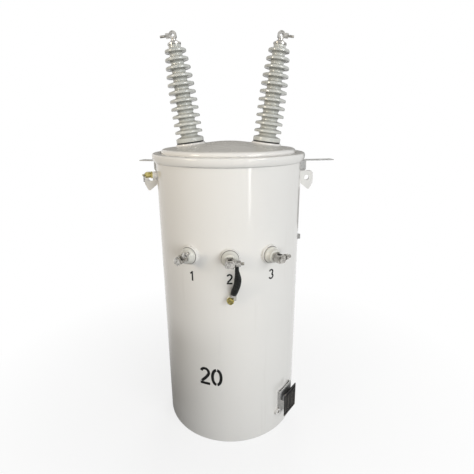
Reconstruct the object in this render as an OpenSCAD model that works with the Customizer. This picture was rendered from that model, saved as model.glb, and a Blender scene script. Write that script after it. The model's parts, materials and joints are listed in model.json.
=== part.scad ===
// Pole mounted transformer: round oil tank, clamped cover, two line bushings, three wall bushings.
// Millimetres, +Z up, floor at z = 0, tank axis on Z, the wall bushings face -Y.

/* [Tank] */
// outside diameter of the tank
tank_d = 460; // [430:5:520]
// thickness of the tank wall
tank_wall = 4; // [3:0.5:6]
// height of the rim above the floor
tank_h = 925; // [900:5:1000]
// how far the rim stands out from the wall
rim_out = 7; // [5:0.5:9]
// height of the rim bar
rim_tall = 19; // [16:1:24]
// thickness of the bottom plate
bottom_t = 6; // [4:1:12]

/* [Cover] */
// sheet thickness of the cover
cover_t = 4; // [3:0.5:5]
// apex of the cover above the rim
cover_rise = 43; // [38:1:52]
// slope of the cover's cone in degrees, also the lean of the line bushings
cover_slope = 7.2; // [5:0.2:9]
// radius of the rounded apex
apex_round = 440; // [300:10:600]
// radius of the rounded shoulder
shoulder_round = 10; // [6:1:12]
// width of the flange outside the shoulder, to the rim's edge
flange_w = 25; // [22:1:32]

/* [Clamp band] */
// sheet thickness of the band
band_t = 4; // [3:0.5:5]
// gap between the band and what it clamps
band_fit = 0.4; // [0.2:0.1:0.8]
// split of the band between its closing lugs, in degrees
band_split = 5; // [4:0.5:8]
// place of the split round the tank, in degrees from the front
band_at = 205; // [195:5:215]
// reach of the closing lugs outside the band
band_lug_out = 32; // [26:1:40]
// diameter of the closing bolt
band_bolt_d = 10; // [8:1:12]

/* [Line bushings] */
// distance of each line bushing from the rim's edge
hv_edge = 117; // [100:1:126]
// diameter of the bosses on the cover
hv_boss_d = 92; // [90:1:100]
// height of the bosses above the cover
hv_boss_h = 5; // [3:0.5:9]
// how far the bosses flare out at their root
hv_boss_flare = 12; // [6:1:14]
// thickness of the gaskets
hv_gasket_t = 4; // [2:0.5:6]
// diameter of the porcelain's foot
hv_foot_d = 86; // [80:1:90]
// height of the porcelain's foot
hv_foot_h = 18; // [14:1:24]
// rise of the foot's sloping shoulder
hv_foot_slope = 6; // [3:0.5:8]
// number of sheds on each bushing
shed_n = 11; // [7:1:12]
// distance from shed to shed
shed_pitch = 23.2; // [21:0.2:26]
// radius of the lowest shed
shed_r_low = 44; // [40:1:50]
// radius of the top shed
shed_r_top = 33; // [30:1:38]
// how late the sheds grow narrower
shed_grade = 3.2; // [1:0.2:5]
// rise of a shed's back from its edge to the core
shed_up = 9; // [7:0.5:10]
// drop of a shed's underside from its edge to the core
shed_down = 6.5; // [4:0.5:7]
// radius of a shed's edge
shed_tip = 2; // [1.5:0.25:2.5]
// core radius at the foot
core_r_low = 26; // [22:1:30]
// core radius at the top
core_r_top = 18; // [15:1:22]
// diameter of the metal cap
hv_cap_d = 40; // [36:1:46]
// height of the metal cap
hv_cap_h = 8; // [5:1:12]
// diameter of the stem of the line terminal
hv_stem_d = 15; // [12:1:18]
// length of the stem
hv_stem_h = 9; // [7:1:14]
// diameter of the eye of the line terminal
hv_eye_d = 23; // [21:1:28]
// thickness of the eye
hv_eye_t = 14; // [12:1:18]
// diameter of the line wire's hole
hv_wire_d = 10; // [6:0.5:11]
// length of the line clamp bolt
hv_bolt_l = 28; // [24:1:40]

/* [Wall bushings] */
// wall bushings below the rim
lv_below = 269; // [220:1:320]
// angle between neighbours
lv_step = 30; // [22:1:36]
// diameter of the welded bosses
lv_boss_d = 56; // [52:1:64]
// how far the bosses stand out from the wall
lv_boss_out = 8; // [5:1:12]
// diameter of the porcelain at its foot
lv_foot_d = 49; // [44:1:50]
// diameter of the porcelain at its nose
lv_nose_d = 33; // [32:1:40]
// length of the porcelain
lv_long = 22; // [18:1:32]
// length of the eye body of the terminals
lv_eye_l = 24; // [22:1:32]
// diameter of the cable's hole
lv_wire_d = 14; // [10:0.5:15]
// how far the left clamp is turned up, in degrees
lv_turn = 40; // [0:5:60]
// length of the clamp bolt
lv_bolt_l = 26; // [22:1:34]

/* [Earthing] */
// strap's boss below the wall bushings
strap_below = 128; // [110:1:150]
// diameter of the strap's boss
strap_boss_d = 24; // [20:1:30]
// how far the strap's boss stands out
strap_boss_out = 9; // [6:1:14]
// diameter of the sleeved strap
strap_d = 17; // [13:1:18]
// thickness of the strap's lugs
strap_lug_t = 3; // [2:0.5:4]
// place of the earth boss round the tank, in degrees from the front
earth_at = 42; // [28:1:42]
// height of the earth boss
earth_z = 71; // [40:1:72]
// diameter of the earth boss
earth_d = 24; // [20:1:30]
// how far the earth boss stands out
earth_out = 9; // [6:1:14]
// diameter of the tapped hole
earth_hole_d = 10.5; // [8:0.5:12]

/* [Lugs and brackets] */
// thickness of the lifting lugs
lug_t = 10; // [8:1:14]
// reach of the lifting lugs from the wall
lug_out = 44; // [40:1:56]
// eye of the lifting lugs below the rim
lug_below = 75; // [73:1:100]
// diameter of the eye
lug_eye_d = 16; // [12:1:20]
// underside of the side brackets' arms below the rim
arm_below = 24; // [22:1:30]
// place of the right bracket round the tank, in degrees from the front
arm_right_at = 98; // [97:1:110]
// place of the left bracket round the tank
arm_left_at = -105; // [-120:1:-97]
// reach of the brackets' gusset plates from the wall
gusset_out = 26; // [22:1:34]
// height of the gusset plates below the arms
gusset_h = 33; // [26:1:40]
// reach of the right bracket from the wall
arm_right = 122; // [90:2:160]
// reach of the left bracket from the wall
arm_left = 79; // [70:2:160]
// width of the side brackets
arm_w = 32; // [26:1:40]
// thickness of the side brackets
arm_t = 3; // [3:0.5:5]
// diameter of the hole in the arms
arm_hole_d = 14; // [11:1:16]
// distance of that hole from the arm's end
arm_hole_in = 18; // [14:1:24]

/* [Pole hanger] */
// distance between the two hanger slots
hanger_step = 286; // [280:1:300]
// upper slot below the rim
hanger_below = 185; // [145:5:225]
// width of the hanger brackets
hanger_w = 100; // [90:2:130]
// height of the hanger brackets
hanger_h = 84; // [76:2:110]
// distance from the wall to the pole face
hanger_out = 62; // [50:2:90]
// plate thickness of the hangers
hanger_t = 6; // [5:1:10]
// width of the slots
slot_w = 21; // [17:1:24]
// length of the slots from end to end
slot_l = 46; // [36:1:56]

/* [Fittings] */
// place of the relief valve round the tank
valve_at = -78; // [-80:1:-74]
// relief valve below the rim
valve_below = 59; // [56:1:85]
// diameter of the relief valve
valve_d = 22; // [18:1:26]
// length of the relief valve
valve_l = 40; // [36:1:50]
// place of the level plug round the tank
plug_at = 80; // [60:2:82]
// level plug below the rim
plug_below = 265; // [220:5:320]
// diameter of the level plug
plug_d = 20; // [16:1:26]
// place of the nameplate round the tank
plate_at = 52; // [50:1:70]
// width of the nameplate
plate_w = 76; // [70:1:100]
// height of the nameplate
plate_h = 91; // [80:1:110]
// height of the nameplate's middle
plate_z = 104; // [100:1:160]
// distance from the wall to the nameplate's back
plate_out = 24; // [18:1:34]
// distance from the wall to the front of the nameplate bracket's web
web_out = 7; // [5:1:9]
// sheet thickness of the nameplate bracket
web_t = 3; // [2:0.5:4]

/* [Hidden] */
$fn = 96;
tank_r = tank_d / 2;
lv_z = tank_h - lv_below;
strap_z = lv_z - strap_below;
lug_z = tank_h - lug_below;
arm_z = tank_h - arm_below;
hanger_z = tank_h - hanger_below;
valve_z = tank_h - valve_below;
plug_z = tank_h - plug_below;
rim_r = tank_r + rim_out;
shoulder_r = rim_r - flange_w;
hv_r = rim_r - hv_edge;
flange_z = tank_h + cover_t;
apex_z = tank_h + cover_rise;
band_top = flange_z + band_fit + band_t;
band_in = rim_r + band_fit;
band_r = band_in + band_t;
band_low = tank_h - rim_tall - band_t - band_fit;
cone_edge_r = apex_round * sin(cover_slope);
cone_edge_z = apex_z - apex_round * (1 - cos(cover_slope));
shed_first = hv_foot_h + 12;
shed_end = 8;
porcelain_h = shed_first + (shed_n - 1) * shed_pitch + shed_up + shed_end;
porcelain_s = hv_boss_h + hv_gasket_t;
cap_s = porcelain_s + porcelain_h;
lv_nose = lv_boss_out + lv_long;
lv_eye_w = 26;
lv_eye_tall = 22;
lv_nut_t = 6;
lv_eye_mid = lv_nose + lv_nut_t + lv_eye_l / 2;
hv_flat = hv_eye_d * 0.44;
hv_eye_s = cap_s + hv_cap_h + hv_stem_h + hv_eye_d / 2 - 2;
lv_nut_at = 7;
strap_x = lv_eye_w / 2 + lv_nut_at - strap_lug_t / 2;

PAINT = [0.80, 0.79, 0.76];
GLAZE = [0.82, 0.83, 0.79];
TIN = [0.62, 0.61, 0.58];
BRASS = [0.72, 0.56, 0.28];
BLACK = [0.05, 0.05, 0.05];
ZINC = [0.45, 0.45, 0.44];

// height of the cover's outside at distance r from the axis, on its cone
function cone_z(r) = cone_edge_z - (r - cone_edge_r) * tan(cover_slope);

// outline of the cover's skin, drawn in by d from its outside, from the apex out and down
function cover_line(d) = concat(
    [for (i = [0:4]) let (a = cover_slope * i / 4)
        [(apex_round - d) * sin(a), apex_z - apex_round + (apex_round - d) * cos(a)]],
    [for (i = [0:6]) let (
            a = cover_slope + (90 - cover_slope) * i / 6,
            c = shoulder_r - shoulder_round,
            z = cone_z(c + shoulder_round * sin(cover_slope)) - shoulder_round * cos(cover_slope))
        [c + (shoulder_round - d) * sin(a), z + (shoulder_round - d) * cos(a)]]);

// radius of shed i, and of the core at height s
function shed_r(i) = shed_r_low - (shed_r_low - shed_r_top) * pow(i / (shed_n - 1), shed_grade);
function core_r(s) = core_r_low + (core_r_top - core_r_low) * (s - hv_foot_h) / (porcelain_h - hv_foot_h);

// corners of one shed from below: neck, edge, swell of the back, neck; and the radius of each
function shed_line(i) = let (s = shed_first + i * shed_pitch, r = shed_r(i),
    low = core_r(s - shed_down), top = core_r(s + shed_up))
    [[low, s - shed_down], [r, s], [top + (r - top) * 0.6, s + shed_up * 0.62], [top, s + shed_up]];
shed_rounds = [3, shed_tip, 9, 3];

// an outline with its corners rounded, r giving a radius for each
function corner(a, b, c, r, n = 5) = r == 0 ? [b] : let (
    u = unit(a - b), v = unit(c - b), half = acos(u * v) / 2,
    o = b + unit(u + v) * r / sin(half), p = b + u * r / tan(half) - o, q = b + v * r / tan(half) - o,
    a0 = atan2(p[1], p[0]), turn = (atan2(q[1], q[0]) - a0 + 540) % 360 - 180)
    [for (i = [0:n]) o + r * [cos(a0 + turn * i / n), sin(a0 + turn * i / n)]];
function rounded(p, r, n = 5) = let (m = len(p))
    [for (i = [0:m - 1]) each corner(p[(i + m - 1) % m], p[i], p[(i + 1) % m], r[i], n)];

// a bar of round section down a path of points, with n sides and a radius for each point
function unit(v) = v / norm(v);
function along(p, i) = i == 0 || i == len(p) - 1 ? [0, 0, -1] : unit(p[i + 1] - p[i - 1]);
function ring_at(p, i, r, n) = let (t = along(p, i), u = unit(cross([0, 1, 0.2], t)), v = cross(t, u))
    [for (k = [0:n - 1]) p[i] + r * (cos(360 * k / n) * u + sin(360 * k / n) * v)];
module swept(p, r, n) {
    m = len(p);
    pts = [for (i = [0:m - 1]) for (q = ring_at(p, i, r[i], n)) q];
    sides = [for (i = [0:m - 2]) for (k = [0:n - 1])
        [i * n + k, (i + 1) * n + k, (i + 1) * n + (k + 1) % n, i * n + (k + 1) % n]];
    ends = [[for (k = [0:n - 1]) k], [for (k = [n - 1:-1:0]) (m - 1) * n + k]];
    polyhedron(pts, concat(sides, ends));
}

// places a part drawn along +Z at the wall, pointing out, its +Y up
module wall(at, z) {
    rotate([0, 0, at]) translate([0, -tank_r, z]) rotate([90, 0, 0]) children();
}

// takes the tank's round outside from a part that is welded to it
module on_tank() {
    difference() {
        children();
        cylinder(r = tank_r, h = tank_h, $fn = 180);
    }
}

// places a part drawn along +Z on the cover, square to the cone
module on_cover(side) {
    translate([side * hv_r, 0, cone_z(hv_r)]) rotate([0, side * cover_slope, 0]) children();
}

module tank_shell() {
    color(PAINT) union() {
        rotate_extrude($fn = 180)
            polygon([[tank_r - tank_wall, 0], [tank_r, 0], [tank_r, tank_h - rim_tall],
                [rim_r, tank_h - rim_tall + rim_out * 1.4], [rim_r, tank_h], [tank_r - tank_wall, tank_h]]);
        wall(0, strap_z) translate([0, 0, -tank_wall / 2])
            cylinder(d = strap_boss_d, h = strap_boss_out + tank_wall / 2);
    }
}

module tank_bottom() {
    color(PAINT) cylinder(r = tank_r - tank_wall, h = bottom_t, $fn = 180);
}

// one plain solid for core, coils and oil, up to the level plug
module oil_and_core() {
    color(ZINC) translate([0, 0, bottom_t])
        cylinder(r = tank_r - tank_wall - 0.3, h = plug_z - bottom_t, $fn = 180);
}

// a pressed boss with a hollow flare down to the sheet, its root sunk in the sheet
module hv_boss() {
    r = hv_boss_d / 2;
    root = -cover_t / 2;
    rotate_extrude() polygon(concat([[0, hv_boss_h], [0, -cover_t * 0.7], [r + hv_boss_flare, -cover_t * 0.7]],
        [for (i = [0:6]) let (a = 15 * i)
            [r + hv_boss_flare * (1 - sin(a)), root + (hv_boss_h - 1.5 - root) * (1 - cos(a))]],
        [[r - 1.5, hv_boss_h]]));
}

module cover() {
    outside = cover_line(0);
    inside = cover_line(cover_t);
    color(PAINT) union() {
        rotate_extrude($fn = 180) polygon(concat(outside,
            [[shoulder_r, flange_z], [rim_r, flange_z], [rim_r, tank_h], [shoulder_r - cover_t, tank_h]],
            [for (i = [len(inside) - 1:-1:0]) inside[i]]));
        for (side = [-1, 1]) on_cover(side) hv_boss();
    }
}

// one closing lug of the band, a little back from the split
module band_lug(side) {
    mid = (band_low + band_top) / 2;
    rotate([0, 0, band_at + side * band_split / 2]) translate([side, -band_r, mid]) difference() {
        translate([side > 0 ? 0 : -band_t, -band_lug_out, -8]) cube([band_t, band_lug_out + 2, 16]);
        translate([-9, -band_lug_out * 0.55, 0]) rotate([0, 90, 0]) cylinder(d = band_bolt_d + 1, h = 18);
    }
}

module cover_band() {
    low = tank_h - rim_tall;
    color(PAINT) union() {
        rotate([0, 0, band_at - 90 + band_split / 2]) rotate_extrude(angle = 360 - band_split, $fn = 180)
            polygon([[tank_r + band_fit, low - band_fit], [tank_r + band_fit, low - band_fit - band_t],
                [tank_r + 4, low - band_fit - band_t], [band_r - 0.4, low + rim_out * 1.4 - 3],
                [band_r, low + rim_out * 1.4], [band_r, band_top - 6], [band_r - 1.5, band_top - 2.5],
                [band_r - 4, band_top - 0.6], [band_r - 7, band_top],
                [shoulder_r + 3, band_top], [shoulder_r + 3, band_top - band_t], [band_in, band_top - band_t],
                [band_in, low + rim_out * 1.4 - 0.6]]);
        for (side = [-1, 1]) band_lug(side);
    }
}

module band_bolt() {
    mid = (band_low + band_top) / 2;
    half = (band_r + band_lug_out * 0.55) * sin(band_split / 2) + band_t + 1.4;
    color(ZINC) rotate([0, 0, band_at]) translate([0, -band_r - band_lug_out * 0.55, mid])
        rotate([0, 90, 0]) union() {
            translate([0, 0, -half - 8]) cylinder(d = band_bolt_d, h = 2 * half + 24);
            translate([0, 0, -half - 8]) cylinder(d = band_bolt_d * 1.8, h = 7, $fn = 6);
            translate([0, 0, half + 1]) cylinder(d = band_bolt_d * 1.8, h = 8, $fn = 6);
        }
}

module hv_gasket(side) {
    color(BLACK) on_cover(side) translate([0, 0, hv_boss_h]) cylinder(d = hv_foot_d - 1, h = hv_gasket_t);
}
module hv_gasket_left() { hv_gasket(-1); }
module hv_gasket_right() { hv_gasket(1); }

module hv_bushing(side) {
    r = hv_foot_d / 2;
    outline = concat([[0, 0], [r, 0], [r, hv_foot_h - hv_foot_slope], [core_r_low, hv_foot_h]],
        [for (i = [0:shed_n - 1]) each shed_line(i)], [[core_r_top, porcelain_h], [0, porcelain_h]]);
    rounds = concat([0, 1.5, 4, 3], [for (i = [0:shed_n - 1]) each shed_rounds], [0, 0]);
    color(GLAZE) on_cover(side) translate([0, 0, porcelain_s]) rotate_extrude()
        polygon(rounded(outline, rounds, 3));
}
module hv_bushing_left() { hv_bushing(-1); }
module hv_bushing_right() { hv_bushing(1); }

module hv_cap(side) {
    r = hv_cap_d / 2;
    color(TIN) on_cover(side) translate([0, 0, cap_s]) rotate_extrude()
        polygon([[0, 0], [r - 1, 0], [r, 1], [r, hv_cap_h - 3], [r - 1.5, hv_cap_h - 1.5],
            [r - 6, hv_cap_h - 1], [r - 7, hv_cap_h], [0, hv_cap_h]]);
}
module hv_cap_left() { hv_cap(-1); }
module hv_cap_right() { hv_cap(1); }

module hv_terminal(side) {
    color(TIN) on_cover(side) difference() {
        union() {
            translate([0, 0, cap_s + hv_cap_h]) cylinder(d = hv_stem_d, h = hv_stem_h + 4);
            translate([0, 0, cap_s + hv_cap_h]) cylinder(d = hv_stem_d * 1.5, h = 4, $fn = 6);
            translate([0, 0, hv_eye_s]) intersection() {
                rotate([90, 0, 0]) cylinder(d = hv_eye_d, h = hv_eye_t, center = true);
                cube([2 * hv_flat, 2 * hv_eye_t, 2 * hv_eye_d], center = true);
            }
        }
        translate([0, 0, hv_eye_s]) rotate([90, 0, 0])
            cylinder(d = hv_wire_d, h = 2 * hv_eye_t, center = true);
    }
}
module hv_terminal_left() { hv_terminal(-1); }
module hv_terminal_right() { hv_terminal(1); }

module hv_eyebolt(side) {
    color(TIN) on_cover(side) translate([0, 0, hv_eye_s]) rotate([0, side * 90, 0])
        translate([0, 0, hv_flat]) union() {
            cylinder(d = 14, h = 2);
            cylinder(d = 8, h = hv_bolt_l);
            translate([0, 0, 2]) cylinder(d = 16, h = 9, $fn = 6);
        }
}
module hv_eyebolt_left() { hv_eyebolt(-1); }
module hv_eyebolt_right() { hv_eyebolt(1); }

module lv_boss(at) {
    color(PAINT) on_tank() wall(at, lv_z) translate([0, 0, -6]) rotate_extrude()
        polygon([[0, 0], [lv_boss_d / 2, 0], [lv_boss_d / 2, lv_boss_out + 4],
            [lv_boss_d / 2 - 2, lv_boss_out + 6], [0, lv_boss_out + 6]]);
}
module lv_boss_1() { lv_boss(-lv_step); }
module lv_boss_2() { lv_boss(0); }
module lv_boss_3() { lv_boss(lv_step); }

module lv_bushing(at) {
    f = lv_foot_d / 2;
    n = lv_nose_d / 2;
    color(GLAZE) wall(at, lv_z) translate([0, 0, lv_boss_out]) rotate_extrude()
        polygon([[0, 0], [f, 0], [f, 6], [f - 1.2, 8], [n + 2, lv_long - 4], [n + 1, lv_long - 1.2],
            [n - 1.5, lv_long], [0, lv_long]]);
}
module lv_bushing_1() { lv_bushing(-lv_step); }
module lv_bushing_2() { lv_bushing(0); }
module lv_bushing_3() { lv_bushing(lv_step); }

module lv_terminal(at, turn) {
    color(TIN) wall(at, lv_z) rotate([0, 0, turn]) translate([0, 0, lv_nose]) difference() {
        union() {
            cylinder(d = lv_nose_d - 3, h = lv_nut_t, $fn = 6);
            translate([0, 0, lv_nut_t]) intersection() {
                cylinder(d = lv_eye_w * 1.12, h = lv_eye_l);
                translate([-lv_eye_w / 2, -lv_eye_tall / 2, 0]) cube([lv_eye_w, lv_eye_tall, lv_eye_l]);
            }
            translate([0, 0, lv_nut_t + lv_eye_l]) cylinder(d = lv_eye_w * 0.85, h = 4, $fn = 6);
        }
        translate([0, lv_eye_tall, lv_nut_t + lv_eye_l / 2]) rotate([90, 0, 0])
            cylinder(d = lv_wire_d, h = 2 * lv_eye_tall);
    }
}
module lv_terminal_1() { lv_terminal(-lv_step, lv_turn); }
module lv_terminal_2() { lv_terminal(0, 0); }
module lv_terminal_3() { lv_terminal(lv_step, 0); }

module lv_eyebolt(at, turn) {
    color(TIN) wall(at, lv_z) rotate([0, 0, turn]) translate([0, 0, lv_eye_mid]) rotate([0, 90, 0])
        translate([0, 0, lv_eye_w / 2]) union() {
            cylinder(d = 10, h = lv_bolt_l);
            translate([0, 0, lv_nut_at]) cylinder(d = 19, h = 9, $fn = 6);
        }
}
module lv_eyebolt_1() { lv_eyebolt(-lv_step, lv_turn); }
module lv_eyebolt_2() { lv_eyebolt(0, 0); }
module lv_eyebolt_3() { lv_eyebolt(lv_step, 0); }

// the strap's route: out of the upper lug, a bow to the right, into the lower lug's barrel
strap_y = -tank_r - lv_eye_mid;
strap_low_y = -tank_r - strap_boss_out - 7;
strap_top_z = lv_z - 20.3;
strap_low_z = strap_z + 20.3;
strap_drop = strap_top_z - strap_low_z;
strap_path = [for (i = [0:8]) let (t = i / 8)
    [strap_x * (1 - t) + 8 * t + 7 * sin(180 * t), strap_y + (strap_low_y - strap_y) * (3 * t * t - 2 * t * t * t),
        strap_top_z - strap_drop * t]];
module ground_strap() {
    color(BLACK) swept(strap_path, [for (i = [0:8]) strap_d / 2 * (i == 0 ? 0.7 : i == 1 ? 0.85 : i == 8 ? 0.8 : 1)], 12);
}

module strap_lug_top() {
    color(TIN) translate([strap_x, strap_y, lv_z]) difference() {
        union() {
            translate([-strap_lug_t / 2, 0, 0]) rotate([0, 90, 0]) cylinder(d = 20, h = strap_lug_t);
            translate([-strap_lug_t / 2, -5, -15]) cube([strap_lug_t, 10, 12]);
            translate([0, 0, -20]) cylinder(d = 10, h = 7);
        }
        translate([-10, 0, 0]) rotate([0, 90, 0]) cylinder(d = 10.6, h = 20);
    }
}

module strap_lug_low() {
    color(TIN) union() {
        difference() {
            translate([0, -tank_r - strap_boss_out, strap_z]) rotate([90, 0, 0]) cylinder(d = 20, h = strap_lug_t);
            translate([0, 0, strap_z]) rotate([90, 0, 0]) cylinder(d = 10.6, h = 2 * tank_r);
        }
        translate([-3, -tank_r - strap_boss_out - strap_lug_t, strap_z + 8]) cube([14, strap_lug_t, 8]);
        translate([8, strap_low_y, strap_z + 12]) cylinder(d = 12, h = 8);
    }
}

module strap_bolt() {
    color(BRASS) wall(0, strap_z) translate([0, 0, strap_boss_out]) union() {
        cylinder(d = 10, h = strap_lug_t + 1);
        translate([0, 0, strap_lug_t]) cylinder(d = 22, h = 2);
        translate([0, 0, strap_lug_t + 2]) cylinder(d = 20, h = 8, $fn = 6);
    }
}

// drawn in the plane of x and z, the wall at x = tank_r
module lifting_lug(side) {
    eye_x = tank_r + 24;
    out = tank_r + lug_out;
    color(PAINT) on_tank() mirror([side < 0 ? 1 : 0, 0, 0]) difference() {
        translate([0, lug_t / 2, 0]) rotate([90, 0, 0]) linear_extrude(lug_t)
            polygon(rounded([[tank_r - 4, lug_z + 22], [out, lug_z + 22], [out, lug_z - 16],
                [out - 12, lug_z - 41], [tank_r - 4, lug_z - 12]], [0, 9, 8, 5, 0]));
        translate([eye_x, lug_t, lug_z]) rotate([90, 0, 0]) cylinder(d = lug_eye_d, h = 2 * lug_t);
    }
}
module lifting_lug_left() { lifting_lug(-1); }
module lifting_lug_right() { lifting_lug(1); }

// a level arm on a gusset plate that is welded to the wall, below the band; front is its side of the arm
module side_bracket(at, reach, front) {
    k = band_r - tank_r + 5;
    low = arm_z - gusset_h;
    top = min(arm_z, band_low - 0.6);
    color(ZINC) on_tank() rotate([0, 0, at]) translate([0, -tank_r, 0]) union() {
        difference() {
            translate([-arm_w / 2, -reach, arm_z]) cube([arm_w, reach - k, arm_t]);
            translate([0, -reach + arm_hole_in, arm_z - arm_t]) cylinder(d = arm_hole_d, h = 3 * arm_t);
        }
        translate([front * (arm_w - arm_t) / 2 - arm_t / 2, 0, 0]) rotate([90, 0, 90]) linear_extrude(arm_t)
            polygon([[4, low], [6 - gusset_out, low], [-gusset_out, low + 6], [-gusset_out, arm_z + arm_t / 2],
                [-k - 1, arm_z + arm_t / 2], [-k - 1, top], [4, top]]);
    }
}
module side_bracket_left() { side_bracket(arm_left_at, arm_left, 1); }
module side_bracket_right() { side_bracket(arm_right_at, arm_right, -1); }

module relief_valve() {
    r = valve_d / 2;
    color(BRASS) on_tank() wall(valve_at, valve_z) union() {
        translate([0, 0, -4]) cylinder(d = valve_d + 6, h = 10);
        translate([0, 0, 6]) cylinder(d = valve_d * 1.12, h = 10, $fn = 6);
        translate([0, 0, 16]) rotate_extrude() polygon([[0, 0], [r - 2, 0], [r - 2, 3], [r, 4],
            [r, valve_l - 23], [r - 3, valve_l - 20], [0, valve_l - 20]]);
        translate([0, 0, valve_l - 4]) cylinder(d = 6, h = 8);
    }
}

module relief_ring() {
    in_r = 9.5;
    color(TIN) wall(valve_at, valve_z) translate([0, 3 - in_r, valve_l])
        rotate_extrude() translate([in_r + 1.5, 0]) circle(r = 1.5, $fn = 24);
}

module level_plug() {
    color(ZINC) on_tank() wall(plug_at, plug_z) union() {
        translate([0, 0, -4]) cylinder(d = plug_d, h = 6);
        translate([0, 0, 2]) cylinder(d = plug_d * 0.86, h = 6, $fn = 6);
    }
}

// a bent sheet: a web along the top, its sides turned back to the wall, and two legs that hold the plate
module nameplate_bracket() {
    w = plate_w / 2;
    top = plate_h / 2 - 1;
    leg = plate_h / 3;
    color(PAINT) on_tank() wall(plate_at, plate_z) union() {
        translate([-w, top - leg, web_out - web_t]) cube([plate_w, leg, web_t]);
        for (x = [-w, w - web_t]) {
            translate([x, top - leg, -2 * web_out]) cube([web_t, leg, 3 * web_out]);
            translate([x, -leg / 2, -2 * web_out]) cube([web_t, leg, plate_out + 2 * web_out]);
        }
    }
}

module nameplate() {
    w = plate_w / 2;
    h = plate_h / 2;
    color(BLACK) wall(plate_at, plate_z) translate([0, 0, plate_out]) linear_extrude(2)
        polygon(rounded([[-w, -h], [w, -h], [w, h], [-w, h]], [4, 4, 4, 4]));
}

module ground_boss() {
    color(PAINT) on_tank() wall(earth_at, earth_z) difference() {
        translate([0, 0, -6]) cylinder(d = earth_d, h = earth_out + 6);
        cylinder(d = earth_hole_d, h = earth_out + 1);
    }
}

// a channel with its open side to the wall and a long slot in its pole face
module hanger(z) {
    w = hanger_w / 2;
    color(PAINT) on_tank() wall(180, z) difference() {
        translate([0, hanger_h / 2, 0]) rotate([90, 0, 0]) linear_extrude(hanger_h) polygon(rounded(
            [[-w, -12], [-w, hanger_out], [w, hanger_out], [w, -12], [w - hanger_t, -12],
                [w - hanger_t, hanger_out - hanger_t], [hanger_t - w, hanger_out - hanger_t], [hanger_t - w, -12]],
            [0, hanger_t + 3, hanger_t + 3, 0, 0, 3, 3, 0]));
        for (s = [-1, 1]) translate([0, s * (slot_l - slot_w) / 2, 0]) cylinder(d = slot_w, h = hanger_out + 1);
        translate([-slot_w / 2, -(slot_l - slot_w) / 2, 0]) cube([slot_w, slot_l - slot_w, hanger_out + 1]);
    }
}
module hanger_upper() { hanger(hanger_z); }
module hanger_lower() { hanger(hanger_z - hanger_step); }

tank_shell();
tank_bottom();
oil_and_core();
cover();
cover_band();
band_bolt();
hv_gasket_left();
hv_gasket_right();
hv_bushing_left();
hv_bushing_right();
hv_cap_left();
hv_cap_right();
hv_terminal_left();
hv_terminal_right();
hv_eyebolt_left();
hv_eyebolt_right();
lv_boss_1();
lv_boss_2();
lv_boss_3();
lv_bushing_1();
lv_bushing_2();
lv_bushing_3();
lv_terminal_1();
lv_terminal_2();
lv_terminal_3();
lv_eyebolt_1();
lv_eyebolt_2();
lv_eyebolt_3();
ground_strap();
strap_lug_top();
strap_lug_low();
strap_bolt();
lifting_lug_left();
lifting_lug_right();
side_bracket_left();
side_bracket_right();
relief_valve();
relief_ring();
level_plug();
nameplate_bracket();
nameplate();
ground_boss();
hanger_upper();
hanger_lower();
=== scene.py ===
import json
import math
import bmesh
import bpy
from mathutils import Matrix, Vector


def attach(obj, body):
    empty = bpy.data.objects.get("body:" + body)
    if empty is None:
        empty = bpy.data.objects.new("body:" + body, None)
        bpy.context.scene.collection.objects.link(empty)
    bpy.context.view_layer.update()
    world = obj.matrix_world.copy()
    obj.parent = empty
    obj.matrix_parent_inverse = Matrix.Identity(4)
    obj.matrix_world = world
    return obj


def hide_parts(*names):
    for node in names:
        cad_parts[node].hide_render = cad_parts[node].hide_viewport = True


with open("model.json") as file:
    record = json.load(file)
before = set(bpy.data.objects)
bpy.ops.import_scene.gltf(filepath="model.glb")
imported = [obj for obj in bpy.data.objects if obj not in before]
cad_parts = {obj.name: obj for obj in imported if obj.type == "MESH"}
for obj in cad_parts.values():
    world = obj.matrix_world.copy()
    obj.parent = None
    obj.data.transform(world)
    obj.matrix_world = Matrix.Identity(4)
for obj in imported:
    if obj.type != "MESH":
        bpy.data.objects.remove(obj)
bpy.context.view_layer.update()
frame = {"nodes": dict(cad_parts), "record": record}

MM = 0.001
TAU = 2 * math.pi
NODES = frame["nodes"]
scene = bpy.context.scene

# sizes of the part's source, in millimetres and degrees; a place on the wall is (angle, height)
TANK_R, TANK_H, WALL = 230.0, 925.0, 4.0
RIM_R, RIM_TALL, RIM_FLARE = 237.0, 19.0, 9.8
COVER_T, SHOULDER_R, SHOULDER_ROUND = 4.0, 212.0, 10.0
APEX, APEX_ROUND = TANK_H + 43.0, 440.0
BAND_R, BAND_TOP, BAND_MID = 241.4, 933.4, 917.5
BAND_AT, BAND_SPLIT = 205.0, 5.0
LEAN = 7.2
SLOPE = math.radians(LEAN)
HV_R, CONE_Z, HV_FOOT, HV_EYE = 120.0, 956.338, 9.0, 314.5
LV_Z, LV_STEP, LV_EYE, LV_LIFT = 656.0, 30.0, 48.0, 40.0
STRAP_Z, STRAP_OUT = 528.0, 9.0
VALVE = (-78, 866)
EARTH = (42, 71)
PLATE_PLACE, PLATE_OUT = (52, 104), 26
LIFT_Z, HANGER_Z, BRACKET_Z = 850, (740, 454), 884


# places
def turn(axis, degrees):
    return Matrix.Rotation(math.radians(degrees), 4, axis)


def move(x, y, z):
    return Matrix.Translation((x, y, z))


def wall(at, z, out=0.0):
    """On the tank's wall: local x runs round it, y up, z out."""
    return turn("Z", at) @ move(0, -TANK_R - out, z) @ turn("X", 90)


def on_cover(side, s=0.0):
    """On the cover's cone, z along a line bushing."""
    return move(side * HV_R, 0, CONE_Z) @ turn("Y", side * LEAN) @ move(0, 0, s)


def arc(cx, cy, r, a0, a1, n):
    return bow(cx, cy, r, r, a0, a1, n)


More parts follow.
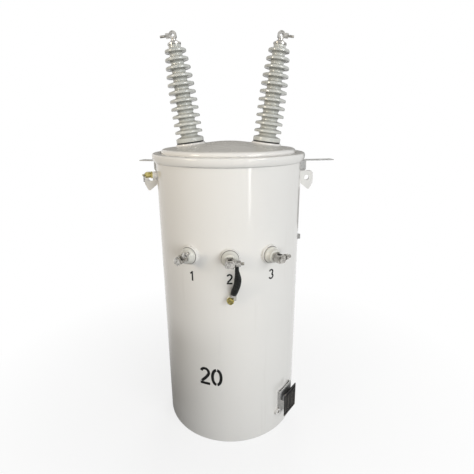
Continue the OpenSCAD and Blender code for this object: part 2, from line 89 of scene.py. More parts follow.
def bow(cx, cy, rx, ry, a0, a1, n=40):
    """Points of an ellipse's arc between two angles."""
    angles = [math.radians(a0 + (a1 - a0) * i / n) for i in range(n + 1)]
    return [(cx + rx * math.cos(a), cy + ry * math.sin(a)) for a in angles]


class Geo:
    """Vertices and faces of one piece, in millimetres."""

    def __init__(self):
        self.v = []
        self.f = []

    def rows(self, rows, m=None):
        """Skins closed rows of points; a row of one point closes an end."""
        first = []
        for row in rows:
            first.append(len(self.v))
            self.v += [m @ Vector(p) if m else Vector(p) for p in row]
        for a, b, p, q in zip(rows, rows[1:], first, first[1:]):
            n = max(len(a), len(b))
            for k in range(n):
                j = (k + 1) % n
                ids = [p + k if len(a) > 1 else p, p + j if len(a) > 1 else p,
                       q + j if len(b) > 1 else q, q + k if len(b) > 1 else q]
                self.f.append(list(dict.fromkeys(ids)))
        return self

    def lathe(self, outline, n=64, m=None):
        """Turns an outline of (radius, height) about z."""
        rows = []
        for r, z in outline:
            if r < 1e-6:
                rows.append([(0, 0, z)])
            else:
                rows.append([(r * math.cos(TAU * k / n), r * math.sin(TAU * k / n), z) for k in range(n)])
        return self.rows(rows, m)

    def tube(self, path, radii, n, up=(0, 0, 1), closed=False):
        """A round bar down a path, with a radius for each point."""
        pts = [Vector(p) for p in path]
        rows = []
        for i, p in enumerate(pts):
            a = pts[i - 1] if i or closed else p
            b = pts[(i + 1) % len(pts)] if i < len(pts) - 1 or closed else p
            t = (b - a).normalized()
            u = Vector(up).cross(t)
            if u.length < 1e-4:
                u = Vector((1, 0, 0)).cross(t)
            u.normalize()
            w = t.cross(u)
            rows.append([p + radii[i] * (math.cos(TAU * k / n) * u + math.sin(TAU * k / n) * w)
                         for k in range(n)])
        if closed:
            rows.append(rows[0])
        else:
            rows = [[pts[0]]] + rows + [[pts[-1]]]
        return self.rows(rows)

    def hexagon(self, corners, tall, bore, m):
        """A nut: six flats with both ends turned to a cone, and a bore with a lead at its outer end."""
        n, fall, lead = 72, 0.6, 0.6
        flat = corners / 2 * math.cos(math.pi / 6)
        edge = flat * 0.97
        ring = []
        for k in range(n):
            a = TAU * k / n
            off = (a + math.pi / 6) % (math.pi / 3) - math.pi / 6
            ring.append((a, flat / math.cos(off)))

        def row(radius, height):
            return [(radius(r) * math.cos(a), radius(r) * math.sin(a), height(r)) for a, r in ring]

        return self.rows([
            row(lambda r: bore, lambda r: 0),
            row(lambda r: edge, lambda r: 0),
            row(lambda r: r, lambda r: (r - edge) * fall),
            row(lambda r: r, lambda r: tall - (r - edge) * fall),
            row(lambda r: edge, lambda r: tall),
            row(lambda r: bore + lead, lambda r: tall),
            row(lambda r: bore, lambda r: tall - lead)], m)

    def thread(self, r, length, pitch, m):
        """A threaded shank with a turned point."""
        n, steps_a_turn, point = 24, 8, 1.5
        depth = pitch * 0.55
        steps = int(length / pitch * steps_a_turn)
        rows = [[(0, 0, 0)]]
        for i in range(steps + 1):
            z = length * i / steps
            row = []
            for k in range(n):
                phase = (z / pitch - k / n) % 1.0
                cut = depth * (1 - abs(2 * phase - 1)) ** 0.8
                lead = max(0.0, z - length + point) * 0.8
                q = r - max(cut, lead)
                row.append((q * math.cos(TAU * k / n), q * math.sin(TAU * k / n), z))
            rows.append(row)
        rows.append([(0, 0, length)])
        return self.rows(rows, m)

    def strip(self, path, width, low, high, place):
        """A flat ribbon with square ends; place turns (x, y, height) into a point."""
        rows = []
        for i, (x, y) in enumerate(path):
            a = path[max(i - 1, 0)]
            b = path[min(i + 1, len(path) - 1)]
            d = math.hypot(b[0] - a[0], b[1] - a[1]) or 1.0
            nx, ny = -(b[1] - a[1]) / d * width / 2, (b[0] - a[0]) / d * width / 2
            rows.append([place(x + nx * s, y + ny * s, h) for s, h in
                         ((-1, low), (-1, high), (-0.33, high), (0.33, high), (1, high), (1, low))])
        first, count = len(self.v), len(rows[0])
        self.rows(rows)
        return self.caps(first, count, len(rows))

    def caps(self, first, count, rows):
        """Closes both ends of rows of count points that begin at vertex first."""
        last = first + count * (rows - 1)
        self.f.append([first + k for k in range(count)])
        self.f.append([last + count - 1 - k for k in range(count)])
        return self

    def make(self, name, look, slot, hides=(), sharp=35):
        me = bpy.data.meshes.new(name)
        me.from_pydata([v * MM for v in self.v], [], self.f)
        bm = bmesh.new()
        bm.from_mesh(me)
        bmesh.ops.remove_doubles(bm, verts=bm.verts, dist=1e-7)
        bmesh.ops.recalc_face_normals(bm, faces=bm.faces)
        bm.to_mesh(me)
        bm.free()
        me.polygons.foreach_set("use_smooth", [True] * len(me.polygons))
        me.set_sharp_from_angle(angle=math.radians(sharp))
        me.materials.append(look)
        ob = bpy.data.objects.new(name, me)
        scene.collection.objects.link(ob)
        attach(ob, "root")
        if hides:
            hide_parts(*hides)
        return ob


# materials
def add_node(tree, kind, ins=(), **props):
    """A new node; each of its ins is a socket to link or a value to set."""
    n = tree.nodes.new(kind)
    for key, value in props.items():
        setattr(n, key, value)
    for key, value in dict(ins).items():
        if isinstance(value, bpy.types.NodeSocket):
            tree.links.new(value, n.inputs[key])
        else:
            n.inputs[key].default_value = value
    return n


class Look:
    """A material on object coordinates, and the nodes that feed its shader."""

    def __init__(self, name, **shader):
        self.m = bpy.data.materials.new(name)
        self.m.use_nodes = True
        self.t = self.m.node_tree
        self.b = self.t.nodes["Principled BSDF"]
        for key, value in shader.items():
            self.b.inputs[key.replace("_", " ")].default_value = value
        self.co = self.add("ShaderNodeTexCoord").outputs["Object"]

    def add(self, kind, ins=(), **props):
        return add_node(self.t, kind, ins, **props)

    def link(self, key, socket):
        self.t.links.new(socket, self.b.inputs[key])

    def noise(self, scale, detail=3.0, rough=0.55, stretch=(1, 1, 1)):
        co = self.add("ShaderNodeMapping", {"Vector": self.co, "Scale": stretch}).outputs[0]
        return self.add("ShaderNodeTexNoise", {"Vector": co, "Scale": scale, "Detail": detail,
                                               "Roughness": rough}).outputs["Fac"]

    def span(self, fac, lo, hi, out_lo=0.0, out_hi=1.0):
        return self.add("ShaderNodeMapRange", {"Value": fac, "From Min": lo, "From Max": hi,
                                               "To Min": out_lo, "To Max": out_hi}).outputs[0]

    def math(self, op, a, b):
        return self.add("ShaderNodeMath", {0: a, 1: b}, operation=op).outputs[0]

    def mix(self, fac, a, b):
        def rgba(c):
            return c if isinstance(c, bpy.types.NodeSocket) else (*c, 1.0)
        return self.add("ShaderNodeMix", {0: fac, 6: rgba(a), 7: rgba(b)}, data_type="RGBA").outputs[2]

    def edges(self, radius):
        """1 along outer edges within radius metres."""
        soft = self.add("ShaderNodeBevel", {"Radius": radius}, samples=4).outputs[0]
        hard = self.add("ShaderNodeNewGeometry").outputs["Normal"]
        dot = self.add("ShaderNodeVectorMath", {0: soft, 1: hard}, operation="DOT_PRODUCT").outputs["Value"]
        return self.span(dot, 0.985, 0.9)

    def facing_up(self, lo, hi):
        """0 to 1 as the normal's z goes from lo to hi."""
        n = self.add("ShaderNodeNewGeometry").outputs["Normal"]
        z = self.add("ShaderNodeSeparateXYZ", {0: n}).outputs[2]
        return self.span(z, lo, hi)

    def bump(self, *heights):
        """heights are (socket, strength, distance in metres)."""
        last = None
        for socket, strength, distance in heights:
            n = self.add("ShaderNodeBump", {"Height": socket, "Strength": strength, "Distance": distance})
            if last:
                self.t.links.new(last, n.inputs["Normal"])
            last = n.outputs[0]
        self.link("Normal", last)


def paint_look(name, base, dark, gloss):
    k = Look(name, Specular_IOR_Level=0.5)
    broad = k.noise(2.6, 2)
    fine = k.noise(140, 4, 0.65)
    runs = k.noise(9, 3, 0.6, (3.5, 3.5, 0.25))
    col = k.mix(k.span(broad, 0.35, 0.7), base, tuple(c * 0.965 for c in base))
    col = k.mix(k.span(runs, 0.62, 0.82, 0, 0.28), col, dark)
    col = k.mix(k.span(fine, 0.7, 0.84, 0, 0.25), col, dark)
    wear = k.math("MULTIPLY", k.edges(0.0016), k.span(k.noise(60, 4), 0.5, 0.62))
    col = k.mix(k.math("MULTIPLY", wear, 0.55), col, (0.34, 0.33, 0.31))
    # painted shade: upward faces, the cover's top above all, are toned towards a dull grey; partly dust,
    # partly painted shade that darkens the tops
    upward_tone = k.math("MULTIPLY", k.facing_up(0.75, 1.0), k.span(k.noise(9, 3), 0.3, 0.75, 0.3, 0.46))
    k.link("Base Color", k.mix(upward_tone, col, (0.5, 0.48, 0.43)))
    rough = k.span(k.noise(7, 4, 0.6), 0.3, 0.75, gloss * 0.8, gloss * 1.5)
    k.link("Roughness", k.math("ADD", rough, k.math("MULTIPLY", upward_tone, 0.5)))
    k.bump((k.noise(420, 1.5, 0.4), 0.02, 0.0005), (k.noise(38, 2, 0.5), 0.03, 0.002))
    return k.m


def glaze_look(name, base, dust_tone):
    k = Look(name, Specular_IOR_Level=0.55, Coat_Weight=0.35, Coat_Roughness=0.06)
    col = k.mix(k.span(k.noise(16, 3), 0.35, 0.7), base, tuple(c * 0.94 for c in base))
    specks = k.span(k.noise(650, 2, 0.6), 0.72, 0.8, 0, 0.5)
    col = k.mix(specks, col, (0.32, 0.30, 0.26))
    # painted shade: downward faces, the sheds' undersides above all, are darkened
    painted_underside_shade = k.math("MULTIPLY", k.facing_up(-0.3, -0.9), k.span(k.noise(40, 4), 0.3, 0.7, 0.45, 0.7))
    col = k.mix(painted_underside_shade, col, (0.26, 0.255, 0.23))
    # dust on upward faces
    upward_tone = k.math("MULTIPLY", k.facing_up(0.5, 0.95), k.span(k.noise(45, 4), 0.38, 0.72, 0.0, 0.4))
    k.link("Base Color", k.mix(upward_tone, col, dust_tone))
    k.link("Roughness", k.span(k.noise(30, 4), 0.3, 0.75, 0.14, 0.3))
    k.bump((k.noise(60, 2, 0.4), 0.08, 0.0012), (k.noise(900, 1, 0.4), 0.03, 0.0003))
    return k.m


def metal_look(name, bright, dull, rough, spots=0.6):
    k = Look(name, Metallic=1.0)
    stain = k.span(k.noise(90, 5, 0.65), 0.46, 0.6)
    col = k.mix(k.math("MULTIPLY", stain, spots), bright, dull)
    worn = k.math("MULTIPLY", k.edges(0.0006), 0.4)
    k.link("Base Color", k.mix(worn, col, tuple(min(1.0, c * 1.15) for c in bright)))
    k.link("Roughness", k.span(k.noise(130, 4, 0.6), 0.3, 0.75, rough * 0.7, rough * 1.5))
    k.bump((k.noise(700, 3, 0.6), 0.12, 0.0003), (k.noise(160, 2), 0.1, 0.0006))
    return k.m


def zinc_look(name, tone_dark, tone_light, metal=0.75):
    k = Look(name)
    cell = k.add("ShaderNodeTexVoronoi", {"Vector": k.co, "Scale": 190.0, "Randomness": 1.0})
    tone = k.add("ShaderNodeSeparateColor", {0: cell.outputs["Color"]}).outputs[0]
    col = k.mix(tone, tone_dark, tone_light)
    col = k.mix(k.span(k.noise(40, 5, 0.6), 0.5, 0.75, 0, 0.5), col, (0.47, 0.46, 0.44))
    col = k.mix(k.math("MULTIPLY", k.edges(0.001), 0.5), col, (0.62, 0.61, 0.59))
    # upward faces turn a lighter, dull grey and lose their metal
    upward_tone = k.math("MULTIPLY", k.facing_up(0.7, 1.0), k.span(k.noise(70, 4), 0.3, 0.7, 0.6, 0.95))
    k.link("Base Color", k.mix(upward_tone, col, (0.66, 0.65, 0.62)))
    k.link("Metallic", k.span(upward_tone, 0.0, 1.0, metal, 0.0))
    k.link("Roughness", k.span(tone, 0.0, 1.0, 0.34, 0.55))
    k.bump((k.noise(300, 3, 0.6), 0.12, 0.0005))
    return k.m


def rubber_look(name, base, worn, specular=0.4, rough=(0.38, 0.6)):
    k = Look(name, Specular_IOR_Level=specular)
    col = k.mix(k.span(k.noise(70, 4), 0.45, 0.75, 0, 0.7), base, worn)
    k.link("Base Color", k.mix(k.math("MULTIPLY", k.edges(0.0009), 0.5), col, worn))
    k.link("Roughness", k.span(k.noise(120, 3), 0.3, 0.75, *rough))
    k.bump((k.noise(800, 3, 0.6), 0.15, 0.0004))
    return k.m


def ink_look(name, base, worn):
    k = Look(name, Specular_IOR_Level=0.25)
    k.link("Base Color", k.mix(k.span(k.noise(260, 4, 0.7), 0.55, 0.8, 0, 0.5), base, worn))
    k.link("Roughness", k.span(k.noise(180, 3), 0.3, 0.7, 0.34, 0.55))
    k.bump((k.noise(500, 2), 0.08, 0.0004))
    return k.m


PAINT = paint_look("tank_paint", (0.735, 0.72, 0.69), (0.56, 0.54, 0.50), 0.09)
GLAZE = glaze_look("porcelain", (0.50, 0.505, 0.47), (0.43, 0.415, 0.37))
LV_GLAZE = glaze_look("lv_porcelain", (0.62, 0.61, 0.56), (0.5, 0.48, 0.43))
TIN = metal_look("tinned_metal", (0.52, 0.505, 0.475), (0.09, 0.085, 0.075), 0.18, 0.55)
BRASS = metal_look("brass", (0.53, 0.45, 0.17), (0.08, 0.072, 0.022), 0.2, 0.65)
ZINC = zinc_look("zinc_steel", (0.25, 0.25, 0.245), (0.36, 0.36, 0.355))
SHEET = zinc_look("sheet_steel", (0.33, 0.33, 0.325), (0.42, 0.42, 0.41), 0.0)
RUBBER = rubber_look("gasket_rubber", (0.018, 0.017, 0.016), (0.07, 0.066, 0.06))
SLEEVE = rubber_look("strap_sleeve", (0.005, 0.005, 0.005), (0.022, 0.023, 0.022), 0.2)
SEAL = rubber_look("aged_rubber", (0.17, 0.165, 0.155), (0.25, 0.24, 0.225), 0.3)
PLATE = rubber_look("plate_black", (0.012, 0.012, 0.013), (0.03, 0.03, 0.031), 0.04, (0.6, 0.78))
INK = ink_look("stencil_ink", (0.006, 0.006, 0.006), (0.022, 0.022, 0.021))
IRON = metal_look("core_steel", (0.25, 0.23, 0.2), (0.12, 0.11, 0.1), 0.5)

# the record's material slots, and the nodes whose finish differs from their slot's
LOOKS = {"tank_paint": PAINT, "porcelain": GLAZE, "lv_porcelain": LV_GLAZE, "tinned_metal": TIN,
         "brass": BRASS, "zinc_steel": ZINC, "gasket_rubber": RUBBER, "strap_sleeve": SLEEVE,
         "plate_black": PLATE, "core_steel": IRON}
OWN = {"nameplate_bracket": SHEET, "level_plug": ZINC}

# the CAD nodes keep their shape; edges get a small round and each its material
SMOOTH_BELOW, FLAT_BELOW, ROUND_ABOVE = math.radians(28), math.radians(0.4), math.radians(32)
EDGE_ROUND = 0.0007
for part in frame["record"]["subparts"]:
    ob = NODES[part["node"]]
    ob.data.materials.clear()
    ob.data.materials.append(OWN.get(part["node"], LOOKS[part["material_slot"]]))
    ob.data.polygons.foreach_set("use_smooth", [True] * len(ob.data.polygons))
    ob.data.set_sharp_from_angle(angle=SMOOTH_BELOW)
    flat = ob.modifiers.new("flat", "DECIMATE")
    flat.decimate_type = "DISSOLVE"
    flat.angle_limit = FLAT_BELOW
    bev = ob.modifiers.new("edge", "BEVEL")
    bev.width = EDGE_ROUND
    bev.segments = 2
    bev.limit_method = "ANGLE"
    bev.angle_limit = ROUND_ABOVE
    bev.harden_normals = True

# tank with its outward rim and the boss of the earthing strap, turned finely
FOOT_ROUND, BOSS_R = 2, 12
rim_low = TANK_H - RIM_TALL
tank = Geo()
tank.lathe([(TANK_R - WALL, 0)] + arc(TANK_R - FOOT_ROUND, FOOT_ROUND, FOOT_ROUND, -90, 0, 6)
           + [(TANK_R, 60 + 60 * i) for i in range(14)]
           + [(TANK_R, rim_low), (RIM_R, rim_low + RIM_FLARE), (RIM_R, TANK_H), (TANK_R - WALL, TANK_H),
              (TANK_R - WALL, 0)], 288)
tank.lathe([(0, -2), (BOSS_R, -2)] + arc(BOSS_R - 1, 8, 1, 0, 90, 4) + [(0, 9)], 48, wall(0, STRAP_Z))
tank.make("tank_skin", PAINT, "tank_paint", ["tank_shell"])


# cover: rounded top, cone, shoulder and flange, with a flared boss under each line bushing
def cone(r):
    edge = APEX_ROUND * math.sin(SLOPE)
    return APEX - APEX_ROUND * (1 - math.cos(SLOPE)) - (r - edge) * math.tan(SLOPE)


def cover_line(d):
    """The cover's outline from the middle to the shoulder, d below its outer face."""
    top = APEX_ROUND - d
    pts = [(top * math.sin(SLOPE * i / 10), APEX - APEX_ROUND + top * math.cos(SLOPE * i / 10))
           for i in range(11)]
    pts += [(r, cone(r) - d / math.cos(SLOPE)) for r in (80, 110, 140, 170, 190)]
    x = SHOULDER_R - SHOULDER_ROUND
    z = cone(x + SHOULDER_ROUND * math.sin(SLOPE)) - SHOULDER_ROUND * math.cos(SLOPE)
    for i in range(13):
        a = math.radians(LEAN + (90 - LEAN) * i / 12)
        pts.append((x + (SHOULDER_ROUND - d) * math.sin(a), z + (SHOULDER_ROUND - d) * math.cos(a)))
    return pts


cover = Geo()
cover.lathe(cover_line(0)
            + [(SHOULDER_R, TANK_H + 6), (SHOULDER_R + 0.6, TANK_H + 4.6), (SHOULDER_R + 2, TANK_H + COVER_T),
               (RIM_R, TANK_H + COVER_T), (RIM_R, TANK_H), (SHOULDER_R - COVER_T, TANK_H)]
            + cover_line(COVER_T)[::-1], 240)
flare = [(46 + 12 * (1 - math.sin(math.radians(6 * i))), -2 + 5.5 * (1 - math.cos(math.radians(6 * i))))
         for i in range(16)]
for side in (-1, 1):
    cover.lathe([(0, -2.8), (58, -2.8)] + flare + arc(44.5, 3.5, 1.5, 0, 90, 5) + [(0, 5)], 120,
                on_cover(side))
cover.make("cover_skin", PAINT, "tank_paint", ["cover"])

# the cover's clamp band: a rounded face that draws in below, open at its split
BAND_IN, BAND_LEG, BAND_T, BAND_ROUND, BAND_STEPS = 237.4, 215, 4.0, 6.5, 240
section = [(BAND_LEG, BAND_TOP)]
section += arc(BAND_R - BAND_ROUND, BAND_TOP - BAND_ROUND, BAND_ROUND, 90, 0, 8)
section += [(241.3, 923.5), (240.9, 920), (240.2, 916.8), (239.2, 913.8), (238, 911.2), (236.9, 909.3),
            (235.8, 908.1), (234.4, 907.5), (232.8, 907.9), (234.8, 911.2), (BAND_IN, 915.2),
            (BAND_IN, BAND_TOP - BAND_T), (BAND_LEG, BAND_TOP - BAND_T)]
rows = []
for k in range(BAND_STEPS + 1):
    a = math.radians(BAND_AT - 90 + BAND_SPLIT / 2 + (360 - BAND_SPLIT) * k / BAND_STEPS)
    rows.append([(r * math.cos(a), r * math.sin(a), z) for r, z in section])
band = Geo().rows(rows).caps(0, len(section), len(rows))

# the band's two closing lugs, each a plate with a hole; the rows of points run round the hole
LUG_OUT, LUG_IN, LUG_HALF, LUG_HOLE = -32.0, 2.0, 8.0, -17.6
LUG_NEAR, LUG_FAR, LUG_EDGE, LUG_LEAD, LUG_BORE = 1.0, 5.0, 0.6, 0.5, 5.5
turns = [TAU * k / 72 for k in range(72)]
turns += [math.atan2(z, y - LUG_HOLE) % TAU for y in (LUG_OUT, LUG_IN) for z in (-LUG_HALF, LUG_HALF)]
turns.sort()


def lug_rim(x, inset=0.0):
    pts = []
    for a in turns:
        c, s = math.cos(a), math.sin(a)
        along = ((LUG_IN if c > 0 else LUG_OUT) - LUG_HOLE) / c if abs(c) > 1e-9 else math.inf
        across = LUG_HALF / abs(s) if abs(s) > 1e-9 else math.inf
        t = min(along, across) - inset
        pts.append((x, LUG_HOLE + t * c, t * s))
    return pts


def lug_bore(x, r):
    return [(x, LUG_HOLE + r * math.cos(a), r * math.sin(a)) for a in turns]


for side in (-1, 1):
    near, far = side * LUG_NEAR, side * LUG_FAR
    band.rows([lug_rim(near, LUG_EDGE), lug_rim(near + side * LUG_EDGE),
               lug_rim(far - side * LUG_EDGE), lug_rim(far, LUG_EDGE),
               lug_bore(far, LUG_BORE + LUG_LEAD), lug_bore(far - side * LUG_LEAD, LUG_BORE),
               lug_bore(near + side * LUG_LEAD, LUG_BORE), lug_bore(near, LUG_BORE + LUG_LEAD),
               lug_rim(near, LUG_EDGE)],
              turn("Z", BAND_AT + side * BAND_SPLIT / 2) @ move(0, -BAND_R, BAND_MID))
band.make("band_skin", PAINT, "tank_paint", ["cover_band"], sharp=40)

# line bushings: foot, eleven sheds and the necks between them, on a tapering core
SHED_COUNT, SHED_FIRST, SHED_STEP, SHED_R = 11, 30, 23.2, 42.8
CORE_FROM, CORE_TO, CORE_LOW, CORE_HIGH = 18, 279, 26, 18


def core(s):
    return CORE_LOW - (CORE_LOW - CORE_HIGH) * (s - CORE_FROM) / (CORE_TO - CORE_FROM)


def corner(a, b, c, r, n):
    """Points of the round of radius r that takes the place of corner b."""
    a, b, c = Vector(a), Vector(b), Vector(c)
    if r == 0:
        return [tuple(b)]
    u, v = (a - b).normalized(), (c - b).normalized()
    half = math.acos(u.dot(v)) / 2
    o = b + (u + v).normalized() * r / math.sin(half)
    p, q = b + u * r / math.tan(half) - o, b + v * r / math.tan(half) - o
    start = math.atan2(p.y, p.x)
    sweep = (math.atan2(q.y, q.x) - start + 3 * math.pi) % TAU - math.pi
    return [(o.x + r * math.cos(start + sweep * i / n), o.y + r * math.sin(start + sweep * i / n))
            for i in range(n + 1)]


def shed_outline():
    """Corners as ((radius, height), round), then rounded."""
    pts = [((0, 0), 0), ((43, 0), 1.5), ((43, 12), 4), ((CORE_LOW, CORE_FROM), 3)]
    for i in range(SHED_COUNT):
        s = SHED_FIRST + SHED_STEP * i
        r = SHED_R - 11 * (i / (SHED_COUNT - 1)) ** 3.2
        pts += [((core(s - 4.5), s - 4.5), 6.5), ((r, s - 3.4), 2), ((r, s + 4.6), 4.2),
                ((core(s + 9), s + 9), 3)]
    pts += [((CORE_HIGH, CORE_TO), 0), ((0, CORE_TO), 0)]
    out = []
    for i, (b, r) in enumerate(pts):
        out += corner(pts[i - 1][0], b, pts[(i + 1) % len(pts)][0], r, 8)
    return out


SHEDS = shed_outline()
HV_BODY = 10.12
for side, name in ((-1, "left"), (1, "right")):
    g = Geo().lathe(SHEDS, 96, on_cover(side, HV_FOOT))
    g.make("hv_porcelain_" + name, GLAZE, "porcelain", ["hv_bushing_" + name], sharp=50)
    g = Geo()
    m = on_cover(side, HV_EYE) @ turn("Y", side * 90) @ move(0, 0, HV_BODY)
    g.lathe([(0, 0), (7, 0), (7, 1.6), (6.6, 2), (0, 2)], 48, m)
    g.hexagon(16, 9, 4, m @ move(0, 0, 2))
    g.thread(4, 17, 1.25, m @ move(0, 0, 11))
    g.make("hv_clamp_" + name, TIN, "tinned_metal", ["hv_eyebolt_" + name], sharp=40)

# wall bushings, each with its gasket and the clamp bolt of its eye
LV_BOSS, LV_BODY = 8, 13
nose = [(0, 0), (24.5, 0), (24.5, 5.5)] + arc(22.5, 6, 2, 0, 60, 5) + [(21, 10), (19.6, 14.5), (18.7, 17.5)]
nose += arc(16.5, 19.8, 2.2, 10, 90, 6) + [(12, 22.2), (0, 22)]
gasket = [(23, 7), (25.4, 7)] + arc(25.2, 8.7, 0.7, -60, 90, 6) + [(23, 9.4), (23, 7)]
for i, at, lift in ((1, -LV_STEP, LV_LIFT), (2, 0, 0), (3, LV_STEP, 0)):
    g = Geo().lathe(nose, 72, wall(at, LV_Z, LV_BOSS))
    g.make("lv_porcelain_%d" % i, LV_GLAZE, "lv_porcelain", ["lv_bushing_%d" % i], sharp=50)
    g = Geo().lathe(gasket, 72, wall(at, LV_Z))
    g.make("lv_gasket_%d" % i, SEAL, "gasket_rubber")
    m = wall(at, LV_Z) @ turn("Z", lift) @ move(0, 0, LV_EYE) @ turn("Y", 90) @ move(0, 0, LV_BODY)
    g = Geo()
    g.lathe([(0, 0), (5, 0), (5, 6.6), (9, 6.6), (9, 7), (0, 7)], 48, m)
    g.hexagon(19, 9, 5, m @ move(0, 0, 7))
    g.thread(5, 10, 1.5, m @ move(0, 0, 16))
    g.make("lv_clamp_%d" % i, TIN, "tinned_metal", ["lv_eyebolt_%d" % i], sharp=40)

# earthing strap in its ribbed sleeve, which runs up over the upper lug's barrel
TOP_X, TOP_Y, TOP_Z = 18.5, -278, 635.7
LOW_X, SET_BACK, DROP, SWAY = 8, 32, 87.4, 7
SLEEVE_R, RIB, RIB_PITCH = 10.2, 0.45, 4.2
path = [(TOP_X, TOP_Y, 650 - 0.6 * i) for i in range(24)]
radii = [5.4 + 0.012 * i for i in range(24)]
for i in range(241):
    t = i / 240
    path.append((TOP_X * (1 - t) + LOW_X * t + SWAY * math.sin(math.pi * t),
                 TOP_Y + SET_BACK * (3 * t * t - 2 * t ** 3), TOP_Z - DROP * t))
    body = SLEEVE_R * min(1.0, 0.6 + 1.2 * t, 0.85 + 1.6 * (1 - t))
    radii.append(body - RIB + RIB * math.sin(TAU * DROP * t / RIB_PITCH))
g = Geo().tube(path, radii, 32, (0, 1, 0.2))
g.make("strap_sleeve", SLEEVE, "strap_sleeve", ["ground_strap"], sharp=60)

# lower lug: a crimped barrel that flattens into its tongue, and a ring round the bolt
rows = []
for i in range(25):
    t = i / 24
    flat = max(0.0, t - 0.35) / 0.65
    half = 9.2 - 1.4 * t + 0.6 * math.sin(TAU * 3 * min(t, 0.5))
    deep = 7.4 - 5.9 * flat
    x, y, z = 8.5 + 2 * t * (1 - t), -246 + 4.6 * flat, 549.5 - 22 * t
    rows.append([(x + half * math.cos(TAU * k / 32), y + deep * math.sin(TAU * k / 32), z)
                 for k in range(32)])
m = wall(0, STRAP_Z, STRAP_OUT)
g = Geo().rows([[(8.5, -246, 549.5)]] + rows + [[(8.5, -241.4, 527.5)]])
g.lathe([(5.3, 0), (10, 0), (10, 2.4), (9.4, 3), (5.3, 3), (5.3, 0)], 48, m)
g.make("strap_ferrule", TIN, "tinned_metal", ["strap_lug_low"], sharp=45)

# the strap's bolt: washer, chamfered nut and the end of its thread
g = Geo().lathe([(0, 0), (5, 0), (5, 3), (11, 3), (11, 4.4), (10.4, 5), (0, 5)], 48, m)
g.hexagon(20, 8, 5, m @ move(0, 0, 5)).thread(5, 10, 1.5, m @ move(0, 0, 4))
g.make("strap_nut", BRASS, "brass", ["strap_bolt"], sharp=40)

# relief valve: painted boss on the wall, brass body with a flange, a barrel and its stem
m = wall(*VALVE)
g = Geo().lathe([(0, -4), (14, -4), (14, 5), (13, 6), (12.6, 12)] + arc(11.6, 12, 1, 0, 90, 4)
                + [(0, 13)], 64, m)
g.make("valve_boss", PAINT, "tank_paint")
m = m @ move(0, 2.5, 0)
g = Geo().hexagon(21.5, 6, 6, m @ move(0, 0, 12.6))
g.lathe([(0, 12), (8, 12), (8, 19.5), (8.6, 20), (9, 20.6), (9, 23), (8.2, 23.4), (8.2, 24.6), (9, 25),
         (9, 33), (8.2, 33.8), (6.4, 36), (4.4, 36.4), (4.4, 37.4), (3, 37.6), (3, 43), (2.4, 44), (0, 44)],
        64, m)
g.make("valve_body", BRASS, "brass", ["relief_valve"], sharp=40)

# threaded lining of the earthing boss
zig = [(4.5 if k % 2 else 5.1, 0.4 + 0.75 * k) for k in range(11)]
g = Geo().lathe([(0, 0), (5.25, 0), (5.25, 8.4)] + zig[::-1] + [(0, 0.4)], 48, wall(*EARTH))
g.make("earth_thread", IRON, "zinc_steel", sharp=20)

# weld beads, in a corner with the wall
BEAD_STEP, RIPPLE = 0.9, 4.5


def on_wall(at, z, x, y):
    return wall(at, z) @ Vector((x, y, math.sqrt(TANK_R ** 2 - x * x) - TANK_R))


def bead(g, pts, r, closed=False):
    dense = []
    n = len(pts)
    for i in range(n if closed else n - 1):
        a, b = pts[i], pts[(i + 1) % n]
        steps = max(1, int((b - a).length / BEAD_STEP))
        dense += [a.lerp(b, k / steps) for k in range(steps)]
    if not closed:
        dense.append(pts[-1])
    radii = [r * (1 + 0.1 * math.sin(TAU * i * BEAD_STEP / RIPPLE) + 0.05 * math.sin(i * 0.37))
             for i in range(len(dense))]
    g.tube(dense, radii, 8, closed=closed)


def ring(at, z, r):
    return [on_wall(at, z, r * math.cos(TAU * k / 72), r * math.sin(TAU * k / 72)) for k in range(72)]


g = Geo()
for at in (-LV_STEP, 0, LV_STEP):
    bead(g, ring(at, LV_Z, 28.6), 1.9, True)
for place in ((0, STRAP_Z), EARTH):
    bead(g, ring(*place, 12.4), 1.5, True)
for at in (-90, 90):
    for x in (-5.4, 5.4):
        bead(g, [on_wall(at, LIFT_Z, x, y) for y in (22, 10, 0, -12)], 2.2)
    bead(g, [on_wall(at, LIFT_Z, x, 22.4) for x in (-5.4, 0, 5.4)], 2.2)
for z in HANGER_Z:
    for x in (-50.5, 50.5):
        bead(g, [on_wall(180, z, x, y) for y in (-42, -20, 0, 20, 42)], 3.0)
for at, mid in ((98, -14.5), (-105, 14.5)):
    for x in (mid - 1.8, mid + 1.8):
        bead(g, [on_wall(at, BRACKET_Z, x, y) for y in (-16, -6, 4, 15)], 1.7)
for x in (-38.4, 38.4):
    bead(g, [on_wall(*PLATE_PLACE, x, y) for y in (-15, 0, 15, 30, 44)], 1.6)
g.make("weld_beads", PAINT, "tank_paint", sharp=60)


# plain numerals, sprayed through stencils; strokes are drawn on a height of 1
def line(*pts):
    out = []
    for a, b in zip(pts, pts[1:]):
        out += [(a[0] + (b[0] - a[0]) * k / 12, a[1] + (b[1] - a[1]) * k / 12) for k in range(12)]
    return out + [pts[-1]]


DIGITS = {
    "0": [bow(0, 0.5, 0.225, 0.44, 96, 264), bow(0, 0.5, 0.225, 0.44, -84, 84)],
    "1": [line((0.05, 0.0), (0.05, 1.0)), line((-0.17, 0.72), (0.0, 0.86))],
    "2": [bow(0, 0.72, 0.21, 0.22, 165, -30, 30)
          + [(0.12, 0.5), (0.02, 0.38), (-0.09, 0.27), (-0.19, 0.16)],
          line((-0.27, 0.06), (0.27, 0.06))],
    "3": [bow(0, 0.725, 0.2, 0.215, 160, -75, 30), bow(0, 0.28, 0.225, 0.225, 80, -160, 36)],
}
INK_LOW, INK_HIGH, INK_LAP = -0.2, 0.22, 0.03
SMALL, LARGE = (575, 31, 5.0), (221, 62, 9.4)


